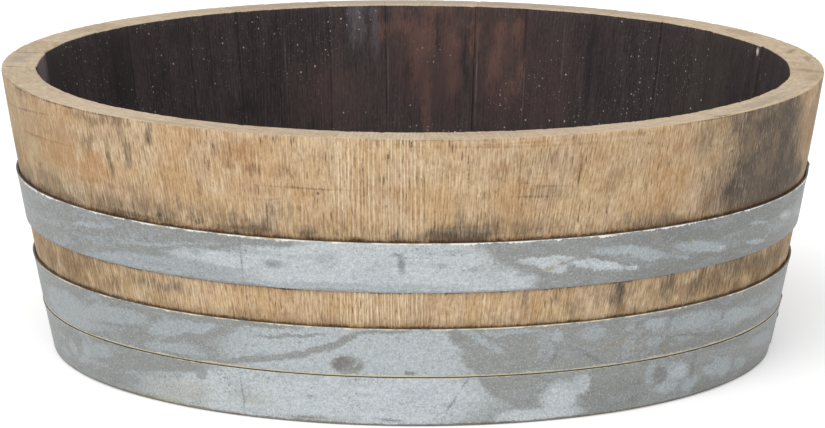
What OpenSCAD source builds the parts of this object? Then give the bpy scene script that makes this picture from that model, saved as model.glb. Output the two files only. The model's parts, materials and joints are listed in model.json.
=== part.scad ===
// Round oak planter coopered from staves: the end of a barrel, sawn off above its third hoop.
// Millimetres. The origin is the centre of the base on the ground, +Z is up and the front faces -Y.

/* [Wall] */
// Height from the ground to the sawn rim
height = 234; // [200:1:320]
// Outer radius of the wood at the rim
rim_radius = 340; // [300:1:400]
// Outer radius of the wood at the ground
base_radius = 297; // [270:1:300]
// How far the outline swells past a straight line at half height
stave_bow = 1.8; // [0.5:0.1:6]
// Thickness of the thinnest stave
stave_t = 26.8; // [24:0.1:34]
// Chamfer where use has rounded the edges of the rim
rim_break = 1.2; // [0.4:0.1:3]
// Angle of the first stave joint, counted anticlockwise from +X
first_joint = 17.5; // [0:0.5:40]

/* [Chime and croze] */
// Width of the flat end that each stave stands on
chime_flat = 16; // [12:0.5:20]
// Height of the bevel inside the stave ends
chime_bevel = 14; // [8:0.5:18]
// Depth of the howel, the band that is planed level across the staves, in the thinnest stave
howel_depth = 1; // [0.5:0.1:2]
// Height of the howel above the croze
howel_rise = 22; // [16:1:30]
// Angle from upright at which the howel runs out above
howel_slope = 20; // [10:1:45]
// Height of the middle of the croze, the groove that holds the head
croze_z = 42; // [38:0.5:50]
// Width of the croze at its bottom
croze_w = 5; // [4:0.5:7]
// Depth of the croze below the howel
croze_depth = 5; // [4:0.5:7]

/* [Head] */
// Thickness of the head boards
head_t = 22; // [18:0.5:26]
// Length of the bevel round the edge of the head
head_bevel = 18; // [12:0.5:26]
// Clearance between the head and the croze
head_gap = 0.2; // [0.1:0.05:0.4]
// Diameter of the dowels between the boards
dowel_d = 8; // [6:0.5:10]
// Length of a dowel
dowel_length = 40; // [30:1:46]
// Distance from the end of a board joint to its dowel
dowel_inset = 60; // [50:1:80]
// Radial clearance of a dowel in its hole
dowel_gap = 0.1; // [0.05:0.05:0.3]
// Diameter of the drain holes
drain_d = 12; // [8:0.5:20]
// Distance of the outer drain holes from the middle, along the boards
drain_spread = 90; // [60:1:110]

/* [Hoops] */
// Thickness of the hoop steel
hoop_t = 1.9; // [1.2:0.1:2.6]
// Height of the chime hoop's lower edge above the ground
chime_hoop_z = 1.5; // [1:0.1:4]
// Width of the chime hoop, measured upright
chime_hoop_w = 39.8; // [34:0.1:46]
// Seam between the chime hoop and the lower hoop
hoop_seam = 0.4; // [0.2:0.1:1.5]
// Width of the lower hoop, measured upright
lower_hoop_w = 40; // [34:0.1:46]
// Height of the upper hoop's lower edge above the ground
upper_hoop_z = 111; // [106:0.5:130]
// Width of the upper hoop, measured upright
upper_hoop_w = 40.5; // [34:0.1:46]
// Length over which a hoop's ends overlap
lap_length = 60; // [50:1:80]
// Length over which the outer end climbs onto the inner one
lap_climb = 18; // [12:1:24]
// Distance from the inner end to the foot of the climb
lap_butt = 1.5; // [1:0.5:4]
// Slit between the two ends of a hoop
lap_gap = 0.15; // [0.1:0.05:0.3]
// Where the upper hoop's ends overlap, as an angle from +X
upper_lap_angle = 5.5; // [-60:0.5:60]
// Where the lower hoop's ends overlap, as an angle from +X
lower_lap_angle = 96; // [60:0.5:180]
// Where the chime hoop's ends overlap, as an angle from +X
chime_lap_angle = 4; // [-60:0.5:60]

/* [Rivets] */
// Diameter of a rivet's head
rivet_head_d = 8.6; // [7:0.1:12]
// Height of a rivet's head
rivet_head_h = 2.7; // [1.5:0.1:4]
// Diameter of a rivet's shank
rivet_shank_d = 5; // [4:0.1:6]
// Distance between the two rivets of a hoop, measured along it
rivet_spacing = 32; // [20:1:36]
// How far the upper hoop's first rivet lies below its middle, and the second above
upper_rivet_drop = 7; // [0:0.5:10]
// Radial clearance of a rivet in its holes
rivet_gap = 0.1; // [0.05:0.05:0.2]

/* [Hidden] */
// Widths of the staves round the rim, anticlockwise from the first joint, and of the head boards
// from front to back. No two are alike, and both lists are stretched a little to fill their circle.
stave_widths = [
    93, 73, 79, 70, 53, 88, 57, 95, 56, 78, 50, 61, 65, 71, 83,
    78, 59, 76, 66, 85, 69, 74, 49, 63, 72, 73, 63, 73, 74, 86,
];
board_widths = [58, 76, 86, 92, 84, 78, 66];

// How much thicker each stave is than the thinnest, in the same order
stave_extras = [
    2.6, 0.3, 1.2, 0.8, 0.3, 1.4, 0.6, 1.0, 0.2, 0.9, 0.5, 0.0, 0.8, 2.4, 1.5,
    1.2, 0.6, 1.5, 0.9, 1.1, 0.4, 1.3, 0.7, 1.0, 0.5, 1.4, 0.9, 0.3, 1.0, 0.8,
];

// Each drain hole's board, and on which side of the middle it is drilled
drain_places = [[4, 0], [3, -1], [3, 1], [5, -1], [5, 1]];

stave_count = len(stave_widths);
board_count = len(board_widths);

// Overshoot of a cut past the surface that it opens
cut = 1;

// Smallest step left where a climb's flat sides meet the round strip
climb_slack = 0.1;

// Length over which the stretches of a hoop's strip run into each other
strip_tie = 0.5;

// Sum of the first n numbers of a list
function total(list, n) = n == 0 ? 0 : list[n - 1] + total(list, n - 1);

// The staves' joints, as angles from +X
function joint_angle(n) =
    first_joint + 360 * total(stave_widths, n) / total(stave_widths, stave_count);

// The outline bows between the ground and the rim. It is faceted at the hoops' edges, so that each
// hoop sits on one straight taper.
function bowed_radius(z) =
    base_radius + (rim_radius - base_radius) * z / height
    + 4 * stave_bow * z / height * (1 - z / height);

hoop_seam_z = chime_hoop_z + chime_hoop_w + hoop_seam / 2;
lower_hoop_z = hoop_seam_z + hoop_seam / 2;
lower_hoop_top = lower_hoop_z + lower_hoop_w;
upper_hoop_top = upper_hoop_z + upper_hoop_w;
levels = [
    0, hoop_seam_z, lower_hoop_top, upper_hoop_z, upper_hoop_top,
    (upper_hoop_top + height) / 2, height,
];
wall_table = [for (z = levels) [z, bowed_radius(z)]];
function wall(z) = lookup(z, wall_table);

// Inner radius of the thinnest stave, and of the howel
function inner(z) = wall(z) - stave_t;
function howel(z) = inner(z) + howel_depth;

// The flanks of the croze lie along the bevel of the head
croze_r = howel(croze_z) + croze_depth;
croze_slope = (head_t - croze_w) / 2 / head_bevel;
croze_flare = croze_depth * croze_slope;
croze_low = croze_z - croze_w / 2;
croze_high = croze_z + croze_w / 2;
howel_top = croze_high + howel_rise;

head_r = croze_r - head_gap;
head_edge_t = croze_w - 2 * head_gap;
head_low = croze_z - head_t / 2;

// Where the joints between the head boards lie, from front to back
function board_y(n) =
    head_r * (2 * total(board_widths, n) / total(board_widths, board_count) - 1);
function board_middle(n) = (board_y(n - 1) + board_y(n)) / 2;
function joint_half_length(y) = sqrt(head_r * head_r - y * y);

function stave_name(n) = str("stave_", n < 10 ? "0" : "", n);
function board_name(n) = str("head_board_", n);

$fn = 180;
small_fn = 40;

oak_tints = ["#C9A577", "#D0AE82", "#C39C6C", "#BE9B70", "#D4B48A"];
head_oak = "#6A4A40";
galvanised = "#A9B3B9";
rivet_steel = "#6E7276";

// A stave: rounded outside and hollowed inside, with both joints on planes through the axis. At the
// foot it is bevelled, planed level with the others and grooved for the head.
module stave(n) {
    from = joint_angle(n - 1);
    turn = joint_angle(n) - from;
    color(oak_tints[n % len(oak_tints)])
        difference() {
            rotate_extrude(start = from, angle = turn) stave_section(stave_t + stave_extras[n - 1]);
            foot_cut();
        }
}

// Section of a stave of one thickness, square at the foot and with the edges of the rim broken
module stave_section(t) {
    below_rim = height - rim_break;
    outside = [for (z = levels) if (z < height) [wall(z), z]];
    rim = [
        [wall(below_rim), below_rim], [rim_radius - rim_break, height],
        [rim_radius - t + rim_break, height], [wall(below_rim) - t, below_rim],
    ];
    inside = [for (i = [len(levels) - 2 : -1 : 0]) [wall(levels[i]) - t, levels[i]]];
    polygon(concat(outside, rim, inside));
}

// Bevel, howel and croze, cut round the foot of all the staves together
module foot_cut() {
    foot_r = wall(0) - chime_flat;
    bevel_slope = (foot_r - howel(chime_bevel)) / chime_bevel;
    clear_r = inner(0) - 2 * stave_t;
    rotate_extrude()
        polygon([
            [clear_r, -cut],
            [foot_r + bevel_slope * cut, -cut],
            [howel(chime_bevel), chime_bevel],
            [howel(croze_low - croze_flare), croze_low - croze_flare],
            [croze_r, croze_low],
            [croze_r, croze_high],
            [howel(croze_high + croze_flare), croze_high + croze_flare],
            if (hoop_seam_z > croze_high + croze_flare) [howel(hoop_seam_z), hoop_seam_z],
            [howel(howel_top), howel_top],
            [clear_r, howel_top + (howel(howel_top) - clear_r) / tan(howel_slope)],
        ]);
}

// A board of the head, cut from the round and bevelled head, and bored for its dowels and drains
module head_board(n) {
    color(head_oak)
        difference() {
            intersection() {
                head_blank();
                translate([-head_r - cut, board_y(n - 1), head_low - cut])
                    cube([2 * (head_r + cut), board_y(n) - board_y(n - 1), head_t + 2 * cut]);
            }
            if (n > 1) joint_dowels(n - 1, dowel_gap);
            if (n < board_count) joint_dowels(n, dowel_gap);
            for (place = drain_places) if (place[0] == n)
                translate([place[1] * drain_spread, board_middle(n), head_low - cut])
                    cylinder(h = head_t + 2 * cut, d = drain_d, $fn = small_fn);
        }
}

// The whole head before it is divided into boards
module head_blank() {
    translate([0, 0, croze_z])
        rotate_extrude()
            polygon([
                [0, -head_t / 2], [head_r - head_bevel, -head_t / 2],
                [head_r, -head_edge_t / 2], [head_r, head_edge_t / 2],
                [head_r - head_bevel, head_t / 2], [0, head_t / 2],
            ]);
}

// The two dowels across one joint of the head, grown by the clearance where they are bored
module joint_dowels(n, gap = 0) {
    y = board_y(n);
    x = joint_half_length(y) - dowel_inset;
    for (side = [-1, 1])
        translate([side * x, y, croze_z])
            rotate([90, 0, 0])
                cylinder(h = dowel_length + 2 * gap, d = dowel_d + 2 * gap, center = true, $fn = small_fn);
}

module head_dowels() {
    color("tan") for (n = [1 : board_count - 1]) joint_dowels(n);
}

// The slant of a hoop's seat from upright
function seat_slant(z, w) = atan2(wall(z + w) - wall(z), w);

// A length round a hoop, as an angle at its middle height
function arc_angle(length, z, w) = length / wall(z + w / 2) * 180 / PI;

// Distances from the seat to the two sides of the end that lies on the other
lap_low = hoop_t + lap_gap;
lap_high = lap_low + hoop_t;

// A stretch of a hoop's strip, square to its seat, between two distances from the seat
module strip(z, w, from, turn, low, high) {
    slant = seat_slant(z, w);
    rotate_extrude(start = from, angle = turn)
        translate([wall(z), z])
            rotate(-slant)
                translate([low, 0])
                    square([high - low, w / cos(slant)]);
}

// A place on the seat at the hoop's middle height, with +X out of the barrel and +Y along the hoop
module on_seat(z, w, angle) {
    rotate([0, 0, angle])
        translate([wall(z + w / 2), 0, z + w / 2])
            rotate([0, seat_slant(z, w), 0])
                children();
}

// A riveted hoop. The strip runs from its inner end right round, climbs that end in a flat bend
// and lies on it.
module hoop(z, w, lap_angle, drop = 0) {
    lap = arc_angle(lap_length, z, w);
    climb = arc_angle(lap_climb, z, w);
    butt = arc_angle(lap_butt, z, w);
    tie = arc_angle(strip_tie, z, w);
    color(galvanised)
        difference() {
            rotate([0, 0, lap_angle - lap / 2])
                difference() {
                    union() {
                        strip(z, w, 0, 360 - butt - climb + tie, 0, hoop_t);
                        strip(z, w, -butt - climb, climb, 0, lap_high);
                        strip(z, w, -butt - tie, butt + tie + lap, lap_low, lap_high);
                    }
                    on_seat(z, w, -butt - climb / 2) climb_cuts(wall(z + w / 2), w);
                }
            rivet_places(z, w, lap_angle, drop) rivet_hole();
        }
}

// What is cut from both sides of the climb, to leave a flat bend as thick as the strip
module climb_cuts(r, w) {
    sag = lap_climb * lap_climb / 8 / r;
    low = hoop_t + climb_slack;
    beside = 4 * climb_slack;
    depth = 2 * lap_high;
    translate([(low + lap_high) / 2 - sag, 0, 0])
        rotate([0, 0, -atan2(lap_high - low, lap_climb)]) {
            translate([0, -lap_climb / 2 - beside, -w])
                cube([depth, lap_climb + depth, 2 * w]);
            translate([-low - depth, -lap_climb, -w])
                cube([depth, 1.5 * lap_climb + beside, 2 * w]);
        }
}

// The two rivets' places on a lap, with +Z out of the barrel: the first lies below the middle by
// the drop, and the second above it
module rivet_places(z, w, lap_angle, drop) {
    half = arc_angle(rivet_spacing, z, w) / 2;
    for (side = [-1, 1])
        on_seat(z, w, lap_angle + side * half)
            translate([0, 0, side * drop])
                rotate([0, 90, 0]) children();
}

module rivet_hole() {
    translate([0, 0, -cut])
        cylinder(h = lap_high + 2 * cut, d = rivet_shank_d + 2 * rivet_gap, $fn = small_fn);
}

// A rivet: shank through both ends of the hoop, and a domed head outside
module rivet() {
    head_r = rivet_head_d / 2;
    dome_r = (head_r * head_r + rivet_head_h * rivet_head_h) / (2 * rivet_head_h);
    cylinder(h = lap_high, d = rivet_shank_d, $fn = small_fn);
    translate([0, 0, lap_high])
        intersection() {
            translate([0, 0, rivet_head_h - dome_r]) sphere(dome_r, $fn = small_fn);
            cylinder(h = rivet_head_h + cut, d = rivet_head_d + cut, $fn = small_fn);
        }
}

module upper_hoop() { hoop(upper_hoop_z, upper_hoop_w, upper_lap_angle, upper_rivet_drop); }
module lower_hoop() { hoop(lower_hoop_z, lower_hoop_w, lower_lap_angle); }
module chime_hoop() { hoop(chime_hoop_z, chime_hoop_w, chime_lap_angle); }

module upper_hoop_rivets() {
    color(rivet_steel)
        rivet_places(upper_hoop_z, upper_hoop_w, upper_lap_angle, upper_rivet_drop) rivet();
}
module lower_hoop_rivets() {
    color(rivet_steel) rivet_places(lower_hoop_z, lower_hoop_w, lower_lap_angle, 0) rivet();
}
module chime_hoop_rivets() {
    color(rivet_steel) rivet_places(chime_hoop_z, chime_hoop_w, chime_lap_angle, 0) rivet();
}

for (n = [1 : stave_count]) stave(n);
for (n = [1 : board_count]) head_board(n);
head_dowels();
upper_hoop();
lower_hoop();
chime_hoop();
upper_hoop_rivets();
lower_hoop_rivets();
chime_hoop_rivets();
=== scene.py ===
import math
import random

import bmesh
import bpy
from mathutils import Matrix, Vector, noise
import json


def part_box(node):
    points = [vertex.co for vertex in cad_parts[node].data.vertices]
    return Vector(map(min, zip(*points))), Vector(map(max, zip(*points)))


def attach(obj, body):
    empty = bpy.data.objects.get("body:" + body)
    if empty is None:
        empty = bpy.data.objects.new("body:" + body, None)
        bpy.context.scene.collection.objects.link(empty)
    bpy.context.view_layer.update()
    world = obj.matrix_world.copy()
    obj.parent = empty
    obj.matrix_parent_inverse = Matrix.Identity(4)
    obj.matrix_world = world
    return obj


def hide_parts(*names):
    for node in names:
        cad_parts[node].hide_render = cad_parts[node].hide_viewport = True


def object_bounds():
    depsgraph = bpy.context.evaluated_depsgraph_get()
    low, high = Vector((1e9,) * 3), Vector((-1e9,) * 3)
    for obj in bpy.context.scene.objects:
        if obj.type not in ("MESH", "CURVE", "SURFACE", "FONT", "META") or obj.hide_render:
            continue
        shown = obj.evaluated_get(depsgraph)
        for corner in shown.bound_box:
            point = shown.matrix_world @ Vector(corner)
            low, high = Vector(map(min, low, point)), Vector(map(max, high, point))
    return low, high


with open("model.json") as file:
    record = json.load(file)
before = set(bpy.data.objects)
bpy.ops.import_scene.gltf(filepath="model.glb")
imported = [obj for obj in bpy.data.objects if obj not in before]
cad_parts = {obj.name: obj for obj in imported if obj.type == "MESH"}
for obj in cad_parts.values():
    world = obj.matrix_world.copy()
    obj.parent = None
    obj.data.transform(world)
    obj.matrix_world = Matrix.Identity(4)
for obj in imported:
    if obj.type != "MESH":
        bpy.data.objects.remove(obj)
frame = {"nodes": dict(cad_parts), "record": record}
cad_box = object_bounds()


# The staves: 30 oak boards of unequal width and thickness, rounded outside and hollowed inside.
# Their joints are planed towards the middle of the barrel, the saw has left their upper ends bare,
# and nothing but the hoops holds them together.
rim_radius = 0.340
base_radius = 0.297
stave_bow = 0.0018
thinnest_stave = 0.0268
rim_height = cad_box[1].z
rim_break = 0.0009
joint_break = 0.00035

chime_flat = 0.016
chime_bevel = 0.014
howel_depth = 0.001
howel_top = 0.0665
howel_slope = math.radians(20)
croze_z = 0.042
croze_w = 0.005
croze_depth = 0.005
croze_flare = 0.0024

# How finely a stave's outline is divided, and how wide the facets of its round are
outside_steps = 26
end_steps = 8
run_out_steps = 6
run_out_step = 0.0024
facet = 0.0035
# Only a joint's face has more corners than this
joint_corners = 20

# How far hand work and the saw have left a stave off its plain shape, and how often that comes
# and goes: per radian round, and per metre up or per thickness. The saw has torn the wood in a
# band below its cut, and within a share of the thickness from either face.
hollow_flattened = 0.0006
outside_waver = 0.0003
waver_pace = (30, 9)
saw_bite = 0.0002
torn_band = 0.004
torn_edge = 0.125
torn_down = 0.0011
torn_in = 0.0010
torn_pace = (190, 1.3)

# Patterns that follow the barrel are drawn on it unrolled at this radius
unrolled_radius = 0.330


def wall(z):
    """Radius of the wood outside."""
    share = z / rim_height
    return base_radius + (rim_radius - base_radius) * share + 4 * stave_bow * share * (1 - share)


def howel(z):
    """Radius of the band that is planed level across the staves inside."""
    return wall(z) - thinnest_stave + howel_depth


def stave_section(thickness):
    """A stave's outline along a joint: up the outside, across the sawn end and down the inside."""
    levels = [rim_height * i / outside_steps for i in range(outside_steps + 1)]
    run_out = [howel_top + run_out_step * i for i in range(run_out_steps)]
    outside = [(wall(z), z) for z in levels]
    sawn = [(rim_radius - thickness * i / end_steps, rim_height) for i in range(1, end_steps)]
    inside = [
        (wall(z) - thickness, z) for z in reversed(levels) if z > run_out[-1] + 1.25 * run_out_step
    ]
    # The howel's plane leaves the wood in a curve, higher in a thicker stave
    planed = [
        (max(wall(z) - thickness, howel(howel_top) - (z - howel_top) * math.tan(howel_slope)), z)
        for z in reversed(run_out)
    ]
    croze_floor = howel(croze_z) + croze_depth
    croze_low, croze_high = croze_z - croze_w / 2, croze_z + croze_w / 2
    foot = [
        (howel(croze_high + croze_flare), croze_high + croze_flare),
        (croze_floor, croze_high),
        (croze_floor, croze_low),
        (howel(croze_low - croze_flare), croze_low - croze_flare),
        (howel(chime_bevel), chime_bevel),
        (wall(0) - chime_flat, 0),
    ]
    return outside + sawn + inside + planed + foot


def stave_place(name):
    """A stave's middle and half width, as angles from +X, and its thickness, off its CAD solid."""
    low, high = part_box(name)
    middle = math.atan2(low.y + high.y, low.x + high.x)
    points = [v.co for v in frame["nodes"][name].data.vertices]
    turns = [(math.atan2(p.y, p.x) - middle + math.pi) % math.tau - math.pi for p in points]
    thickness = max(wall(p.z) - math.hypot(p.x, p.y) for p in points if p.z > rim_height / 2)
    middle = (middle + (min(turns) + max(turns)) / 2) % math.tau
    return middle, (max(turns) - min(turns)) / 2, thickness


def break_edges(form, edges, width):
    """Take the sharpness off some edges."""
    bmesh.ops.bevel(form, geom=edges, offset=width, segments=2, profile=0.5, affect="EDGES",
                    material=-1)


def stave_form(half_turn, thickness, seed):
    """A stave with its middle over +X and its edges broken, as unevenly as hand work leaves it."""
    form = bmesh.new()
    face = form.faces.new([form.verts.new((r, 0, z)) for r, z in stave_section(thickness)])
    bmesh.ops.spin(form, geom=[face, *face.edges, *face.verts], cent=(0, 0, 0), axis=(0, 0, 1),
                   angle=2 * half_turn, steps=round(2 * half_turn * rim_radius / facet))
    bmesh.ops.rotate(form, verts=form.verts, matrix=Matrix.Rotation(-half_turn, 3, "Z"))
    bmesh.ops.recalc_face_normals(form, faces=form.faces)
    arrises = [
        edge for edge in form.edges
        if min(v.co.z for v in edge.verts) > rim_height - 1e-5
        and sorted(abs(round(f.normal.z)) for f in edge.link_faces) == [0, 1]
        and all(len(f.verts) == 4 for f in edge.link_faces)
    ]
    break_edges(form, arrises, rim_break)
    joints = {edge for f in form.faces if len(f.verts) > joint_corners for edge in f.edges}
    break_edges(form, list(joints), joint_break)
    for vert in form.verts:
        radius = math.hypot(vert.co.x, vert.co.y)
        turn = math.atan2(vert.co.y, vert.co.x)
        z = vert.co.z
        depth = (wall(z) - radius) / thickness
        # The hollow is a little flatter than the barrel, and the outside isn't quite round
        if z > howel_top:
            radius -= depth * hollow_flattened * (1 - (turn / half_turn) ** 2)
        waver = 1 + noise.noise(Vector((turn * waver_pace[0], z * waver_pace[1], seed)))
        radius -= (1 - depth) * outside_waver * waver
        # The saw has torn fibres from the edges of its cut, where the noise has its peaks
        torn = noise.noise(Vector((turn * torn_pace[0], depth * torn_pace[1], seed)))
        near_end = max(0, 1 - (rim_height - z) / torn_band)
        near_edge = max(0, 1 - min(abs(depth), abs(1 - depth)) / torn_edge)
        z -= near_end * (saw_bite + near_edge * torn_down * max(0, torn - 0.12))
        radius -= near_edge * near_end * torn_in * max(0, torn - 0.05) * (1 - 2 * round(depth))
        vert.co = Vector((radius * math.cos(turn), radius * math.sin(turn), z))
    return form


def colour(code):
    """The linear colour of an sRGB hex value."""
    parts = [int(code[i:i + 2], 16) / 255 for i in (1, 3, 5)]
    return [*(p / 12.92 if p <= 0.04045 else ((p + 0.055) / 1.055) ** 2.4 for p in parts), 1]


def plug(tree, node, inputs):
    """Link a node's inputs to nodes or sockets, or set them. A string is a hex colour."""
    for key, value in inputs.items():
        named = [s for s in node.inputs if s.name == key and s.enabled]
        socket = named[0] if named else node.inputs[key]
        if isinstance(value, bpy.types.Node):
            value = next(s for s in value.outputs if s.enabled)
        if isinstance(value, bpy.types.NodeSocket):
            tree.links.new(value, socket)
        else:
            socket.default_value = colour(value) if isinstance(value, str) else value


def add(tree, kind, inputs=None, stops=(), **settings):
    """A node of that kind with its settings, its inputs plugged, and the stops of its colour ramp,
    if it has one: pairs of a place from 0 to 1 and a hex colour."""
    node = tree.nodes.new("ShaderNode" + kind)
    for name, value in settings.items():
        setattr(node, name, value)
    plug(tree, node, inputs or {})
    points = node.color_ramp.elements if stops else []
    while len(points) < len(stops):
        points.new(0.5)
    for point, (place, code) in zip(points, stops):
        point.position = place
        point.color = colour(code)
    return node


def new_material(name):
    """A material with its node tree and the shader that comes with it."""
    made = bpy.data.materials.new(name)
    made.use_nodes = True
    return made, made.node_tree, made.node_tree.nodes["Principled BSDF"]


def weigh(tree, parts):
    """The sum of some shares, each times its weight."""
    total = 0.0
    for share, weight in parts:
        total = add(tree, "Math", {0: share, 1: weight, 2: total}, operation="MULTIPLY_ADD")
    return total


def drawn_out(tree, place, across, along, detail, roughness=0.5, distortion=0.0, start=(0, 0, 0)):
    """Noise whose spots are so many metres across and along on a map."""
    stretched = add(tree, "Mapping", {
        "Vector": place, "Scale": (1 / across, 1 / along, 1), "Location": start,
    })
    return add(tree, "TexNoise", {
        "Vector": stretched, "Scale": 1, "Detail": detail, "Roughness": roughness,
        "Distortion": distortion,
    })


def ragged(tree, place, grit, push, holes=0.0):
    """Places pushed about by up to so many metres, so that what is drawn there has uneven edges.
    Grit is the size across and along of the finest unevenness. Holes in what is drawn come of
    lifting the places off the surface, 1 at most."""
    fine = drawn_out(tree, place, *grit, detail=3, roughness=0.6)
    wide = add(tree, "TexNoise", {"Vector": place, "Scale": 1 / 0.022, "Detail": 2})
    both = add(tree, "VectorMath", {
        0: fine.outputs["Color"], 1: wide.outputs["Color"],
    }, operation="ADD")
    centred = add(tree, "VectorMath", {0: both, 1: (1, 1, 0.55)}, operation="SUBTRACT")
    return add(tree, "VectorMath", {
        0: centred, 1: (push[0], push[1], holes * 2), 2: place,
    }, operation="MULTIPLY_ADD")


def stains(tree, place, marks, soft=0.4, datum=rim_height, taken=None):
    """Share of some ovals, each at an angle and millimetres below the rim, with its half width and
    half height in millimetres, its strength and, if it leans, its slope in degrees. The surface
    may have taken them unequally."""
    share = None
    for angle, below, wide, high, strength, *slope in marks:
        moved = add(tree, "Mapping", {
            "Vector": place,
            "Location": (math.radians(angle) * unrolled_radius, datum - below / 1000, 0),
            "Rotation": (0, 0, math.radians(sum(slope))),
            "Scale": (wide / 1000, high / 1000, 1),
        }, vector_type="TEXTURE")
        away = add(tree, "VectorMath", {0: moved}, operation="LENGTH")
        oval = add(tree, "MapRange", {
            "Value": away, "From Min": 1 + soft, "From Max": 1 - soft, "To Max": strength,
        }, interpolation_type="SMOOTHSTEP")
        share = add(tree, "Math", {0: share, 1: oval}, operation="MAXIMUM") if share else oval
    if taken:
        share = add(tree, "Math", {0: share, 1: taken}, operation="MULTIPLY")
    return share


def tinted(tree, under, tint, value, low=0, high=1, most=1):
    """The colour under with a tint laid over it as a value passes from low to high, at most so
    far."""
    share = add(tree, "MapRange", {
        "Value": value, "From Min": low, "From Max": high, "To Max": most,
    })
    return add(tree, "Mix", {"Factor": share, "A": under, "B": tint}, data_type="RGBA")


def oak_figure(tree):
    """Growth rings, fibres, ray flecks and pores along the grain: four shares from 0 to 1."""
    grain = add(tree, "UVMap", uv_map="Grain")
    # One turn of the wave is one ring, 3 mm but for the good and the lean years
    years = drawn_out(tree, grain, 0.011, 0.5, detail=2)
    unequal = add(tree, "VectorMath", {
        0: years.outputs["Color"], 1: (4, 0, 0),
        2: add(tree, "Mapping", {"Vector": grain, "Scale": (1 / 0.0030, 1 / 0.45, 1)}),
    }, operation="MULTIPLY_ADD")
    rings = add(tree, "TexWave", {
        "Vector": unequal, "Scale": math.tau / 20, "Distortion": 1.6, "Detail": 3,
        "Detail Scale": 4, "Detail Roughness": 0.6,
    })
    # Real fibres and pores are too fine to show, and are drawn a pixel or two wide
    return [rings] + [
        add(tree, "MapRange", {
            "Value": drawn_out(tree, grain, *size, detail, roughness),
            "From Min": low, "From Max": high,
        })
        for size, detail, roughness, low, high in (
            ((0.0013, 0.014), 6, 0.75, 0.3, 0.7),
            ((0.0019, 0.0042), 3, 0.7, 0.3, 0.7),
            ((0.0012, 0.008), 2, 0.6, 0.60, 0.72),
        )
    ]


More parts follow.
